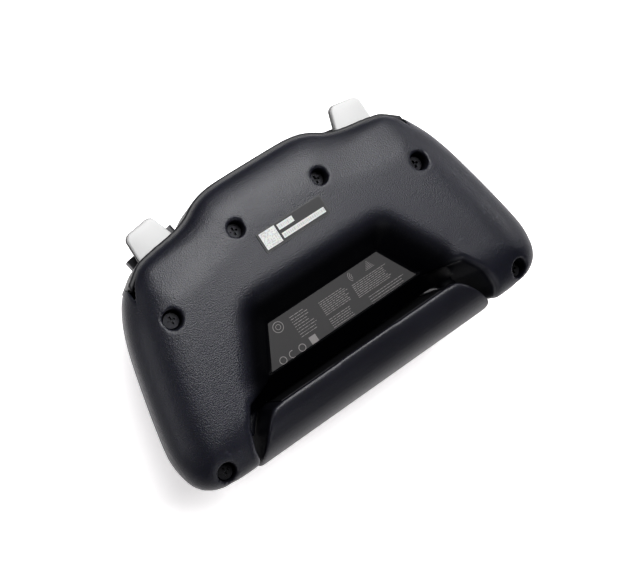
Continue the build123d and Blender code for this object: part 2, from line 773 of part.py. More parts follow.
def jaw_fittings():
    pad_z = (JAW_FOOT_Z + 1, JAW_RIM_Z - 5.5)
    with BuildPart() as inner:
        with BuildSketch(Plane.XZ.offset(-JAW_RIM_Y + 0.4)):
            with Locations((0, (pad_z[0] + pad_z[1]) / 2)):
                Rectangle(2 * (JAW_RIM_HALF - 3.4), pad_z[1] - pad_z[0])
        extrude(amount=1.6)
    save(inner.part, "jaw_liner")
    with BuildPart() as pad:
        with BuildSketch(Plane.XZ.offset(-JAW_RIM_Y - 0.4)):
            with Locations((0, 17.5)):
                RectangleRounded(60, 8, 1.5)
        extrude(amount=1.4)
    save(pad.part, "jaw_pad")
    with BuildPart() as rods:
        with BuildSketch(Plane.XZ.offset(42)):
            with Locations((ROD_X, ROD_Z), (-ROD_X, ROD_Z)):
                Circle(ROD_D / 2)
        extrude(amount=-(42 + ROD_INNER_Y))
        with BuildSketch(Plane.XZ.offset(-ROD_INNER_Y + 1.5)):
            with Locations((ROD_X, ROD_Z), (-ROD_X, ROD_Z)):
                Circle(3.3)
        extrude(amount=-1.5)
    save(rods.part, "guide_rods")


def jaw_springs():
    """Coils round the guide rods, drawn at the length they have with the jaw fully out."""
    wire = 0.35
    with BuildPart() as springs:
        for x in (ROD_X, -ROD_X):
            with BuildLine() as path:
                Helix(pitch=2.0, height=18.0, radius=2.75, center=(x, -18.4, ROD_Z), direction=(0, 1, 0))
            with BuildSketch(Plane(origin=path.line @ 0, z_dir=path.line % 0)):
                Circle(wire)
            sweep(path=path.line, is_frenet=True)
    save(springs.part, "jaw_springs")


if __name__ == "__main__":
    rear_shell()
    face_shell()
    far_bezel()
    shell_screws()
    usb_socket("usb_a_socket", USB_A, 13.1, 5.7, 13.5, 43.0, (11.0, 1.8, 1.0))
    usb_socket("usb_c_socket", USB_C, 9.0, 3.2, 8.0, 43.0, (6.6, 0.7, 0.0))
    main_board()
    buzzer()
    antenna_boards()
    battery()
    for side, name in ((1, "right"), (-1, "left")):
        stick_base(side, f"stick_base_{name}")
        stick_yoke(side, f"stick_yoke_{name}")
        stick(side, f"stick_{name}")
        stick_dome(side, f"stick_dome_{name}")
        lever(side, f"lever_{name}")
        shoulder_button(side, f"shoulder_button_{name}")
    stick_trims()
    stick_boards()
    face_buttons()
    button_board()
    light_pipe()
    shoulder_switches()
    lever_fittings()
    cover_shell()
    cover_liner()
    hinge_fittings()
    jaw_beam()
    jaw_fittings()
    jaw_springs()
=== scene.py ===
import bpy
import bmesh
import json
import numpy as np
from math import cos, radians, sin, tan
from mathutils import Matrix, Vector


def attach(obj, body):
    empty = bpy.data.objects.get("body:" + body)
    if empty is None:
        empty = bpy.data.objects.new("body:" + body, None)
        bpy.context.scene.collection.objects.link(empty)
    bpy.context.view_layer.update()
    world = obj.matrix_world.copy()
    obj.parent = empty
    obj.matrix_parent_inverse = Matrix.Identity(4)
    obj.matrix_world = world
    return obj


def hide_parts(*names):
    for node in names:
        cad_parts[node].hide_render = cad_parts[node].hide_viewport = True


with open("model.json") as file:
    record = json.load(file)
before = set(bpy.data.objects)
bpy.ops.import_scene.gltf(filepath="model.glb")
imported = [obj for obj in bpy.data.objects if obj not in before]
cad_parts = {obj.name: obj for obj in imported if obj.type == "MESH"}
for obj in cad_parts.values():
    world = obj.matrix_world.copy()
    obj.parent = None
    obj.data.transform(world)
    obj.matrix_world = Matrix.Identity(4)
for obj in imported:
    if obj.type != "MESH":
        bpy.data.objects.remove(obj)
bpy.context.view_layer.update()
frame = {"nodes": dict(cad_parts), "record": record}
MM = 0.001

# ---- main sizes in millimetres, as in the CAD model or within a few tenths of it ----
CREST_Z = 70.3
PARTING_Z = 40.0
FACE_Z = 27.0
WALL = 2.4
HOLLOW_Z = 58.5
HALF_OUTLINE = [
    (0, 43.2), (9, 43.2), (17.3, 43.0), (23.4, 41.4), (29.0, 37.9), (35.5, 36.0), (45.0, 34.8),
    (54.5, 32.6), (60.0, 28.0), (66.1, 16.0), (71.2, -3.7), (75.0, -21.0), (76.0, -29.0),
    (74.4, -37.8), (68.6, -42.7), (60.0, -43.7), (45.0, -43.7), (25.0, -43.7), (0, -43.7),
]
BAY = [(33, -21.5), (45, -24.5), (49.3, -31), (51.1, -38), (51.3, -60)]
FLOOR = [(23.6, -5.2), (33, -21.5), (40, -60)]
JAW_PLAN = [
    (34, -28.9), (38.5, -29.2), (41.6, -31.5), (44.8, -35.5), (48.6, -40.8), (50.8, -44), (50.8, -52),
]
PANEL = [(23.4, -5.6), (31.8, -20.9)]
SCREWS = [(17.2, 26.7, 62.0, 5.8), (51.2, 12.9, 62.0, 6.6), (63.1, -38.3, 57.5, 6.6)]
LUGS = (45.6, 50.0)
HINGE = (29.5, 12.0, 5.0)
STICK_X = 38.0
BEZEL_HALF = 57.2
BEZEL_Z = (37.8, 64.7)
FAR_TURN = radians(9)
LEVER_ROOT = (41.5, 36.5, 59.5)
SHOULDER_BUTTON = (40.2, 39.7, 43.5)


# ---- distance fields and the mesh made from them ----
def mirrored(half):
    return [(x, y) for x, y in half] + [(-x, y) for x, y in reversed(half) if x != 0]


def rounded(points, times=3):
    """Corner-cutting subdivision of a closed polygon."""
    p = np.array(points, float)
    for _ in range(times):
        q = np.roll(p, -1, axis=0)
        p = np.stack([0.75 * p + 0.25 * q, 0.25 * p + 0.75 * q], axis=1).reshape(-1, 2)
    return p


def polygon_distance(points, X, Y):
    """Signed distance to a closed polygon, negative inside."""
    p = np.asarray(points, float)
    best = np.full(X.shape, 1e9)
    inside = np.zeros(X.shape, bool)
    for (ax, ay), (bx, by) in zip(p, np.roll(p, -1, axis=0)):
        dx, dy = bx - ax, by - ay
        t = np.clip(((X - ax) * dx + (Y - ay) * dy) / (dx * dx + dy * dy + 1e-12), 0, 1)
        best = np.minimum(best, (X - ax - t * dx) ** 2 + (Y - ay - t * dy) ** 2)
        if ay != by:
            crosses = ((ay > Y) != (by > Y)) & (X < (Y - ay) / (by - ay) * dx + ax)
            inside ^= crosses
    return np.where(inside, -1, 1) * np.sqrt(best)


def smooth_max(a, b, k):
    h = np.clip(0.5 + 0.5 * (a - b) / k, 0, 1)
    return b * (1 - h) + a * h + k * h * (1 - h)


def smooth_min(a, b, k):
    return -smooth_max(-a, -b, k)


def smooth_step(t):
    t = np.clip(t, 0, 1)
    return t * t * (3 - 2 * t)


def grid(low, high, step):
    axes = [np.arange(a, b + step, step) for a, b in zip(low, high)]
    return np.meshgrid(*axes, indexing="ij"), np.array(low, float), step


def net_faces(field, index, axis):
    """Quads across the grid edges along one axis where the field changes sign, as two arrays."""
    u, v = (axis + 1) % 3, (axis + 2) % 3
    near = [slice(1, -1)] * 3
    near[axis] = slice(0, -1)
    ahead = [slice(1, -1)] * 3
    ahead[axis] = slice(1, None)
    first, second = field[tuple(near)] < 0, field[tuple(ahead)] < 0
    faces = []
    for side, flip in ((first & ~second, False), (~first & second, True)):
        at = np.argwhere(side) + np.array([0 if m == axis else 1 for m in range(3)])
        ring = []
        for du, dv in ((1, 1), (0, 1), (0, 0), (1, 0)):
            cell = at.copy()
            cell[:, u] -= du
            cell[:, v] -= dv
            ring.append(index[tuple(cell.T)])
        faces.append(np.stack(ring[::-1] if flip else ring, axis=1))
    return faces


def surface_net(field, low, step):
    """Vertices and quads of the zero level of a sampled field: one vertex in each cell it crosses."""
    n = np.array(field.shape) - 1

    def corner(i, j, k):
        return field[i:i + n[0], j:j + n[1], k:k + n[2]]

    total = np.zeros(tuple(n) + (3,))
    count = np.zeros(tuple(n))
    corners = [(i, j, k) for i in (0, 1) for j in (0, 1) for k in (0, 1)]
    for a in corners:
        for axis in range(3):
            if a[axis]:
                continue
            b = tuple(v + (m == axis) for m, v in enumerate(a))
            fa, fb = corner(*a), corner(*b)
            hit = (fa < 0) != (fb < 0)
            t = np.where(hit, fa / np.where(hit, fa - fb, 1), 0)
            for m in range(3):
                total[..., m] += np.where(hit, a[m] + (t if m == axis else 0), 0)
            count += hit
    used = count > 0
    index = np.full(tuple(n), -1)
    index[used] = np.arange(used.sum())
    place = np.argwhere(used) + total[used] / count[used][:, None]
    quads = np.concatenate([face for axis in range(3) for face in net_faces(field, index, axis)])
    return low + place * step, quads[(quads >= 0).all(axis=1)]


def relax(points, quads, rounds, keep):
    """Gentle smoothing: each vertex keeps a share of its place and takes the rest from its neighbours."""
    a = quads.ravel()
    b = np.roll(quads, -1, axis=1).ravel()
    n = len(points)
    count = np.bincount(a, minlength=n) + np.bincount(b, minlength=n)
    for _ in range(rounds):
        total = np.zeros_like(points)
        for m in range(3):
            total[:, m] = np.bincount(a, points[b, m], n) + np.bincount(b, points[a, m], n)
        points = keep * points + (1 - keep) * total / np.maximum(count, 1)[:, None]
    return points


def put_in_scene(name, mesh, material, body, replaced):
    """Links the mesh as a piece and tells the frame where it belongs."""
    mesh.materials.append(material)
    piece = bpy.data.objects.new(name, mesh)
    bpy.context.collection.objects.link(piece)
    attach(piece, body)
    if replaced:
        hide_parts(*replaced)
    return piece


def piece_from(name, points, faces, material, body, slot, replaced=()):
    mesh = bpy.data.meshes.new(name)
    corners = [tuple(p) for p in np.asarray(points) * MM]
    mesh.from_pydata(corners, [], [tuple(int(i) for i in f) for f in faces])
    mesh.update()
    for polygon in mesh.polygons:
        polygon.use_smooth = True
    return put_in_scene(name, mesh, material, body, replaced)


def field_piece(name, field, low, step, *args, **kw):
    points, quads = surface_net(field, low, step)
    points = relax(points, quads, 2, 0.5)
    return piece_from(name, points, quads, *args, **kw)


# ---- materials ----
GRAIN_DEPTH = 0.00012
SCUFF_LIFT = 0.14
# near-black colour of the painted shade in the finger hollow
RECESS_SHADE_COLOUR = (0.001, 0.001, 0.0015, 1)


def noise(graph, where, scale, detail, distortion=0.0):
    texture = graph.nodes.new("ShaderNodeTexNoise")
    texture.inputs["Scale"].default_value = scale
    texture.inputs["Detail"].default_value = detail
    texture.inputs["Distortion"].default_value = distortion
    graph.links.new(where.outputs["Object"], texture.inputs["Vector"])
    return texture


def attribute(graph, name):
    """Value stored on the mesh, which is 0 on every mesh that does not carry it."""
    node = graph.nodes.new("ShaderNodeAttribute")
    node.attribute_name = name
    return node.outputs["Fac"]


def map_range(graph, value, to_min, to_max, from_min=0.0, from_max=1.0):
    node = graph.nodes.new("ShaderNodeMapRange")
    node.inputs["From Min"].default_value = from_min
    node.inputs["From Max"].default_value = from_max
    node.inputs["To Min"].default_value = to_min
    node.inputs["To Max"].default_value = to_max
    graph.links.new(value, node.inputs["Value"])
    return node.outputs["Result"]


def blend(graph, factor, first, second, kind="MIX"):
    """Mix of a colour output with a second output or a fixed colour."""
    node = graph.nodes.new("ShaderNodeMix")
    node.data_type = "RGBA"
    node.blend_type = kind
    sockets = (node.inputs["Factor"], node.inputs[6], node.inputs[7])
    for socket, value in zip(sockets, (factor, first, second)):
        if isinstance(value, bpy.types.NodeSocket):
            graph.links.new(value, socket)
        else:
            socket.default_value = value
    return node.outputs[2]


def scuffed(graph, where, colour_out, colour, wear):
    """Thin paler scratches, more of them where the mesh is marked as scuffed."""
    scratch = noise(graph, where, 260, 6, 1.5)
    lift = graph.nodes.new("ShaderNodeMath")
    lift.operation = "MULTIPLY_ADD"
    lift.inputs[1].default_value = SCUFF_LIFT
    graph.links.new(attribute(graph, "scuff"), lift.inputs[0])
    graph.links.new(scratch.outputs["Fac"], lift.inputs[2])
    cut = map_range(graph, lift.outputs["Value"], 0, wear, 0.66, 0.78)
    return blend(graph, cut, colour_out, (*[min(1, c * 3 + 0.05) for c in colour], 1))


def plastic(name, colour, rough=0.42, grain=0.35, scale=2600.0, blotch=0.12, wear=0.0, bump=0.04):
    """Moulded plastic: fine grain, slow changes of colour and gloss, scuffs, and near-black painted shade
    where the mesh carries a shade value.
    """
    material = bpy.data.materials.new(name)
    material.use_nodes = True
    graph = material.node_tree
    shader = graph.nodes["Principled BSDF"]
    where = graph.nodes.new("ShaderNodeTexCoord")
    fine = noise(graph, where, scale, 3)
    slow = noise(graph, where, 38, 5)
    tint = graph.nodes.new("ShaderNodeValToRGB")
    low, high = tint.color_ramp.elements
    low.position, high.position = 0.3, 0.7
    low.color = (*[c * (1 - blotch) for c in colour], 1)
    high.color = (*[min(1, c * (1 + blotch)) for c in colour], 1)
    graph.links.new(slow.outputs["Fac"], tint.inputs["Fac"])
    colour_out = blend(graph, grain, tint.outputs["Color"], fine.outputs["Color"], "OVERLAY")
    if wear:
        colour_out = scuffed(graph, where, colour_out, colour, wear)
    # painted shade: where the mesh carries the shade value, the colour goes to near-black and the specular
    # drops, in place of the shade on the hollow's steep walls
    painted_recess_shade = attribute(graph, "painted_recess_shade")
    colour_out = blend(graph, painted_recess_shade, colour_out, RECESS_SHADE_COLOUR)
    graph.links.new(colour_out, shader.inputs["Base Color"])
    graph.links.new(map_range(graph, painted_recess_shade, 0.5, 0.06), shader.inputs["Specular IOR Level"])
    gloss = map_range(graph, slow.outputs["Fac"], rough - 0.07, rough + 0.07)
    graph.links.new(gloss, shader.inputs["Roughness"])
    relief = graph.nodes.new("ShaderNodeBump")
    relief.inputs["Strength"].default_value = min(1.0, bump * 4)
    relief.inputs["Distance"].default_value = GRAIN_DEPTH
    graph.links.new(fine.outputs["Fac"], relief.inputs["Height"])
    graph.links.new(relief.outputs["Normal"], shader.inputs["Normal"])
    return material


def metal(name, colour, rough):
    material = plastic(name, colour, rough=rough, grain=0.15, scale=1400, blotch=0.06)
    material.node_tree.nodes["Principled BSDF"].inputs["Metallic"].default_value = 1.0
    return material


SHELL = plastic(
    "shell_plastic", (0.012, 0.0125, 0.021), rough=0.36, grain=0.8, scale=2300, wear=0.3, bump=0.25
)
JAW = plastic("jaw_plastic", (0.013, 0.013, 0.020), rough=0.38, grain=0.5, scale=1900, bump=0.15)
TRIM = plastic("trim_plastic", (0.012, 0.012, 0.015), rough=0.45)
WHITE = plastic("lever_plastic", (0.50, 0.50, 0.50), rough=0.5, grain=0.02, blotch=0.015)
# grey of the painted shadow outline around the lever tabs
PAINTED_LEVER_SHADOW = plastic("lever_painted_shadow", (0.16, 0.16, 0.16), rough=0.5, grain=0.05)
BUTTON = plastic("button_plastic", (0.04, 0.04, 0.045), rough=0.4)
PAD = plastic("soft_rubber", (0.02, 0.02, 0.02), rough=0.8, grain=0.5, scale=900, bump=0.2)
SCREW = metal("black_screw", (0.02, 0.02, 0.022), 0.35)
STEEL = metal("plain_steel", (0.6, 0.6, 0.6), 0.3)
BOARD = plastic("solder_mask", (0.02, 0.09, 0.05), rough=0.35)
CELL = plastic("cell_sleeve", (0.1, 0.25, 0.4), rough=0.25)
LIGHT = plastic("light_diffuser", (0.8, 0.85, 0.9), rough=0.2, grain=0.02)
LABEL = plastic("label_film", (0.012, 0.012, 0.014), rough=0.5, grain=0.1)
LABEL_EDGE = plastic("label_border", (0.008, 0.008, 0.009), rough=0.35, grain=0.1)
LABEL_WHITE = plastic("label_white", (0.46, 0.47, 0.46), rough=0.45, grain=0.3, scale=1500)
MARK = plastic("faint_print", (0.19, 0.18, 0.18), rough=0.5, grain=0.1)
INK = plastic("label_ink", (0.36, 0.36, 0.36), rough=0.5, grain=0.1)
FLOOR_PLASTIC = plastic("hollow_floor", (0.026, 0.025, 0.026), rough=0.55, grain=0.2, bump=0.08)

MATERIAL_OF = {
    "shell": SHELL, "jaw": JAW, "trim": TRIM, "lever_white": WHITE, "screw": SCREW, "pad": PAD,
    "button": BUTTON, "board": BOARD, "metal": STEEL, "cell": CELL, "light": LIGHT,
}


def dress_frame():
    """Every CAD node takes the procedural material of its slot."""
    for entry in frame["record"]["subparts"]:
        node = frame["nodes"][entry["node"]]
        material = MATERIAL_OF[entry["material_slot"]]
        node.data.materials.clear()
        node.data.materials.append(material)


# ---- casing ----
ROLL_REACH = 19
GRIP_DROP = 12.5
FAR_DROP = 5.6
BOWL_REACH = 15.5
BOWL_HEIGHT = 12.6
LIP_Z = (42, 47)
LIP_SLOPE = 1.5
JAW_CLEARANCE = 0.7
BOSS_R = 5.0
SEAT_DEPTH = 3
PARTING_GAP = 0.15
STICK_HOLE_R = 8.4
BUTTON_X = (-14, 0, 14)
BUTTON_HOLE_R = 4.3
SCUFF_AT = (63, -17)


def outline_distance(x, y):
    return polygon_distance(rounded(mirrored(HALF_OUTLINE), 2), x, y)


def floor_distance(x, y):
    return polygon_distance(mirrored(FLOOR), x, y)


def crest_height(X, Y, edge):
    """Height of the underside over the plan: rolled edges, then the dished finger hollow."""
    far = smooth_step((Y - 18) / 14) * smooth_step((62 - np.abs(X)) / 14)
    reach = ROLL_REACH + far
    drop = GRIP_DROP * (1 - far) + FAR_DROP * far
    u = np.clip((reach + edge) / reach, 0, 1)
    top = CREST_Z - drop * (1 - np.sqrt(1 - u * u))
    rise = np.clip(floor_distance(X, Y) / BOWL_REACH, 0, 1)
    bowl = HOLLOW_Z + BOWL_HEIGHT * (1 - (1 - rise) ** 2.1)
    return smooth_min(top, bowl, 2.6)


def bay_lip(X, Y, Z):
    """Dark ledge of the casing that slopes from the hollow's floor down to the jaw."""
    jaw_plan = rounded(mirrored(JAW_PLAN), 1)
    clear = polygon_distance(jaw_plan, X[:, :, 0], Y[:, :, 0])[:, :, None]
    top = np.maximum(HOLLOW_Z - 0.2 + LIP_SLOPE * (Y + 21.5), LIP_Z[1])
    lip = np.maximum(np.abs(X) - 47, -36 - Y)
    lip = np.maximum(lip, np.maximum(Y + 20.5, np.maximum(LIP_Z[0] - Z, Z - top)))
    return np.maximum(lip, JAW_CLEARANCE - clear)


def screw_bosses(X, Y, Z, body, skin):
    """Adds a boss under each screw and opens the counterbore above it."""
    for x, y, seat, hole in SCREWS:
        away = np.sqrt((np.abs(X) - x) ** 2 + (Y - y) ** 2)
        boss = np.maximum(away - BOSS_R, np.maximum(seat - SEAT_DEPTH - Z, body))
        skin = np.minimum(skin, boss)
        skin = np.maximum(skin, -np.maximum(away - hole / 2, seat - Z))
    return skin


def casing_field(X, Y, Z):
    """Signed field of both casing shells: a wall inside the outline and crest, open at the jaw's bay."""
    plan_x, plan_y = X[:, :, 0], Y[:, :, 0]
    edge = outline_distance(plan_x, plan_y)
    top = crest_height(plan_x, plan_y, edge)[:, :, None]
    edge = edge[:, :, None]
    below = np.clip((58 - Z) / 31, 0, 1)
    lean = 1.6 * below + 7.0 * below ** 6
    body = smooth_max(edge + lean, (Z - top) * 0.8, 0.8)
    body = smooth_max(body, FACE_Z - Z, 1.5)
    bay = polygon_distance(mirrored(BAY), plan_x, plan_y)[:, :, None]
    soft = 0.5 + 2.2 * smooth_step((np.abs(plan_x) - 35) / 7)[:, :, None]
    body = smooth_max(body, -bay + 0 * Z, soft)
    skin = np.maximum(body, -(body + WALL))
    skin = np.minimum(skin, bay_lip(X, Y, Z))
    skin = screw_bosses(X, Y, Z, body, skin)
    band = np.maximum(np.abs(X) - BEZEL_HALF, -(edge + 5.0))
    band = np.maximum(np.maximum(band, 20 - Y), np.maximum(BEZEL_Z[0] - Z, Z - BEZEL_Z[1]))
    return np.maximum(skin, -band)


def face_cuts(X, Y, Z, field):
    """Stick openings, button holes, light slot and hinge lugs of the face shell."""
    y0, z0, hub = HINGE
    lug_side = np.abs(np.abs(X) - sum(LUGS) / 2) - (LUGS[1] - LUGS[0]) / 2
    barrel = np.sqrt((Y - y0) ** 2 + (Z - z0) ** 2) - hub
    arm = np.abs(Y - (y0 - 3.5) + (Z - z0) * 0.25) - 4.5
    arm = np.maximum(arm, np.maximum(z0 - Z, Z - FACE_Z - 2.5))
    field = np.minimum(field, np.maximum(lug_side, np.minimum(barrel, arm)))
    low = Z - FACE_Z - 4
    flare = np.clip(Z - FACE_Z, 0, 3) * 0.7
    cuts = [np.sqrt((np.abs(X) - STICK_X) ** 2 + Y ** 2) - STICK_HOLE_R - flare]
    cuts += [np.sqrt((X - x) ** 2 + (Y + 13) ** 2) - BUTTON_HOLE_R for x in BUTTON_X]
    cuts += [np.maximum(np.abs(X) - 4.6, np.abs(Y + 4) - 1.3)]
    for cut in cuts:
        field = np.maximum(field, -np.maximum(cut, low))
    return field


def shade_casing(piece):
    """Vertex values that the shell material reads: painted shade over the finger hollow, its deep walls and
    the bay's ledge, fading out past the walls' top, and one scuff on a grip.
    """
    place = np.array([tuple(v.co) for v in piece.data.vertices]) / MM
    x, y, z = place.T
    # painted shade mask: full over the hollow and the bay's ledge, fading out a few millimetres past the
    # floor's edge
    painted_wall_shade = 1 - smooth_step((floor_distance(x, y) - 5.0) / 8.0)
    painted_wall_shade *= smooth_step((y + 46) / 10) * smooth_step((z - 40) / 6)
    scuff = np.exp(-((x - SCUFF_AT[0]) ** 2 + (y - SCUFF_AT[1]) ** 2) / 26)
    for name, values in (("painted_recess_shade", 0.92 * painted_wall_shade), ("scuff", scuff)):
        layer = piece.data.attributes.new(name, "FLOAT", "POINT")
        layer.data.foreach_set("value", values.astype(np.float32))


def make_casing():
    step = 0.65
    (X, Y, Z), low, step = grid((-78, -46, PARTING_Z - 2), (78, 46, 73), step)
    field = np.maximum(casing_field(X, Y, Z), PARTING_Z + PARTING_GAP - Z)
    shell = field_piece("rear_casing", field, low, step, SHELL, "casing", "shell", ("rear_shell",))
    shade_casing(shell)
    (X, Y, Z), low, step = grid((-78, -46, 5), (78, 46, PARTING_Z + 2), step)
    field = np.maximum(casing_field(X, Y, Z), Z - PARTING_Z + PARTING_GAP)
    field = face_cuts(X, Y, Z, field)
    field_piece("face_casing", field, low, step, SHELL, "casing", "shell", ("face_shell",))


def far_window(X, Y, Z, centre, half, rise):
    """Opening through the swept far edge on both sides, centred on a lever or a shoulder button."""
    x, y, z = centre
    dx, dy = np.abs(X) - x, Y - y
    along = dx * cos(FAR_TURN) - dy * sin(FAR_TURN)
    out = dx * sin(FAR_TURN) + dy * cos(FAR_TURN)
    return np.maximum(np.maximum(np.abs(along) - half, np.abs(Z - z) - rise), np.abs(out) - 8)


def port_window(X, Y, Z, centre, half, rise):
    x, z = centre
    return np.maximum(np.maximum(np.abs(X - x) - half, np.abs(Z - z) - rise), 36 - Y)


def make_bezel():
    """Thin far trim band, fading into the casing at both ends, with its lever, button and port windows."""
    low, high = (-60, 18, BEZEL_Z[0] - 2), (60, 47, BEZEL_Z[1] + 2)
    (X, Y, Z), low, step = grid(low, high, 0.5)
    edge = outline_distance(X[:, :, 0], Y[:, :, 0])[:, :, None]
    proud = 1.0 - 1.6 * smooth_step((np.abs(X) - 49) / 7)
    band = np.maximum(edge - proud, -(edge + 2.6))
    half_height = (BEZEL_Z[1] - BEZEL_Z[0]) / 2
    band = smooth_max(band, np.abs(Z - sum(BEZEL_Z) / 2) - half_height + 0.3, 0.5)
    band = np.maximum(np.maximum(band, 20.5 - Y), np.abs(X) - BEZEL_HALF + 0.4)
    windows = [
        far_window(X, Y, Z, LEVER_ROOT, 7.7, 3.2),
        far_window(X, Y, Z, SHOULDER_BUTTON, 10.3, 3.8),
        port_window(X, Y, Z, (-8.0, 49.2), 7.0, 3.3),
        port_window(X, Y, Z, (11.0, 47.5), 5.1, 2.1),
    ]
    for window in windows:
        band = np.maximum(band, -window)
    field_piece("bezel_skin", band, low, step, TRIM, "casing", "trim", ("far_bezel",))


# ---- jaw ----
JAW_RIM = (-29.0, 67.7)
JAW_OUT = -46.0
JAW_WALL = 2.2
JAW_FOOT_HALF = 49.8
JAW_FOOT_Z = 20


def jaw_profile():
    """Side section of the jaw: rim, gentle crown, rounded back and foot."""
    rim_y, rim_z = JAW_RIM
    crown = []
    for a in np.linspace(0, 1.5, 16):
        crown.append((rim_y - 17 * sin(a), 44 + (rim_z - 44) * cos(a) ** 0.9))
    foot = [(JAW_OUT + 6 - 6 * cos(a), 6 - 6 * sin(a)) for a in np.linspace(0, 1.57, 7)]
    return crown + foot + [(-28.6, 0), (-28.6, 30), (rim_y, 34)]


def make_jaw():
    (X, Y, Z), low, step = grid((-53, -48, -2), (53, -26, 70), 0.55)
    section = polygon_distance(jaw_profile(), Y[0], Z[0])[None, :, :]
    plan = polygon_distance(rounded(mirrored(JAW_PLAN), 1), X[:, :, 0], Y[:, :, 0])[:, :, None]
    foot_side = np.abs(X) - JAW_FOOT_HALF
    above_foot = Z - JAW_FOOT_Z
    upper_side = smooth_min(foot_side + above_foot * 0.8, plan + 0 * Z, 1.0)
    width = np.where(above_foot < 0, foot_side, upper_side)
    body = smooth_max(section + 0 * X, width, 1.2)
    open_side = np.maximum(np.maximum(-31.5 - Y, np.abs(X) - 35.2), np.maximum(22 - Z, Z - 65))
    field = np.maximum(np.maximum(body, -(body + JAW_WALL)), -open_side)
    field_piece("jaw_skin", field, low, step, JAW, "jaw", "jaw", ("jaw_beam",))


# ---- flat pieces ----
def plate(name, corners, low, high, material, body, bevel=0.0, replaced=(), place=None):
    """Closed plate over a plan polygon; its top and bottom edges are rounded when bevel is not 0."""
    bm = bmesh.new()
    ring = [bm.verts.new((x * MM, y * MM, low * MM)) for x, y in corners]
    face = bm.faces.new(ring)
    top = bmesh.ops.extrude_face_region(bm, geom=[face])
    moved = [v for v in top["geom"] if isinstance(v, bmesh.types.BMVert)]
    bmesh.ops.translate(bm, verts=moved, vec=(0, 0, (high - low) * MM))
    bmesh.ops.recalc_face_normals(bm, faces=bm.faces)
    if bevel:
        flat = [e for e in bm.edges if abs(e.verts[0].co.z - e.verts[1].co.z) < 1e-7]
        bmesh.ops.bevel(bm, geom=flat, offset=bevel * MM, segments=3, affect="EDGES", profile=0.5)
    if place is not None:
        bmesh.ops.transform(bm, matrix=place, verts=bm.verts)
    mesh = bpy.data.meshes.new(name)
    bm.to_mesh(mesh)
    bm.free()
    for polygon in mesh.polygons:
        polygon.use_smooth = bevel > 0.5
    return put_in_scene(name, mesh, material, body, replaced)


def print_plate(name, corners, low, high, material):
    """Sharp-edged plate that lies on the casing, for film and print."""
    return plate(name, corners, low, high, material, "casing")


def box_corners(x0, y0, x1, y1):
    return [(x0, y0), (x1, y0), (x1, y1), (x0, y1)]


def merged(name, pieces):
    """Joins plates of one material into one piece."""
    first = pieces[0]
    with bpy.context.temp_override(active_object=first, selected_editable_objects=pieces, object=first):
        bpy.ops.object.join()
    first.name = name
    return first


LABEL_PATCHES = [(-12.3, 15.0, -6.0, 21.1), (-5.2, 18.6, 1.0, 20.7), (-5.2, 15.4, 12.1, 17.4)]
CODE_CELL = 0.37


def make_label():
    """Dark film with three pale patches, each with a generic pattern on it."""
    z = CREST_Z - 0.05
    print_plate("label_border", box_corners(-13.0, 14.2, 13.2, 21.6), z - 0.6, z + 0.10, LABEL_EDGE)
    print_plate("label_film", box_corners(-12.7, 14.5, 12.9, 21.3), z - 0.6, z + 0.13, LABEL)
    top = z + 0.16
    for k, patch in enumerate(LABEL_PATCHES):
        print_plate(f"label_patch_{k}", box_corners(*patch), z, top, LABEL_WHITE)
    rng = np.random.default_rng(4)
    cells = []
    for i in range(16):
        for j in range(15):
            if rng.random() < 0.45:
                x, y = -12.05 + i * CODE_CELL, 15.25 + j * CODE_CELL
                square = box_corners(x, y, x + CODE_CELL, y + CODE_CELL)
                cells.append(print_plate("cell", square, z, top + 0.01, INK))
    for x0, x1, y0, y1 in ((-4.6, 0.4, 19.1, 20.2), (-4.6, 11.5, 15.9, 16.9)):
        x = x0
        while x < x1:
            w = 0.15 + 0.45 * rng.random()
            cells.append(print_plate("cell", box_corners(x, y0, x + w, y1), z, top + 0.01, INK))
            x += w + 0.35
    merged("label_code", cells)


MARK_Z = HOLLOW_Z + 0.35
DASH_BLOCKS = [
    (-16, -8, -12, -8.2, 5), (-16, -8, -16, -13, 4), (-4.5, 7.5, -14.5, -9.6, 8),
    (-4.5, 5, -19.6, -16.4, 5), (9, 24, -15.8, -11.0, 8), (12, 27, -20.4, -17.6, 4),
]


def mark_plate(corners):
    return print_plate("mark", corners, MARK_Z - 0.3, MARK_Z + 0.02, MARK)


def ring_mark(x, y, outer, inner, part=1.0, start=0.0):
    """Ring or arc: part is the share of the full turn."""
    steps = 28
    angles = [start + 2 * np.pi * part * k / steps for k in range(steps + 1)]
    out = [(x + outer * cos(a), y + outer * sin(a)) for a in angles]
    back = [(x + inner * cos(a), y + inner * sin(a)) for a in reversed(angles)]
    return mark_plate(out + back)


def dash_rows(block, rng):
    """Rows of dashes of uneven length, in place of lines of small print."""
    x0, x1, y0, y1, rows = block
    dashes = []
    for r in range(rows):
        y = y0 + (y1 - y0) * r / max(1, rows - 1)
        x = x0
        end = x1 - 2.5 * rng.random()
        while x < end:
            w = 0.3 + 1.5 * rng.random()
            dashes.append(mark_plate(box_corners(x, y, min(x + w, end + 0.3), y + 0.22)))
            x += w + 0.3
    return dashes


def make_floor_panel():
    """Sharp-edged lighter panel that covers the flat floor of the finger hollow."""
    low, high = HOLLOW_Z - 0.5, HOLLOW_Z + 0.3
    plate("floor_panel", mirrored(PANEL), low, high, FLOOR_PLASTIC, "casing", 0.15)


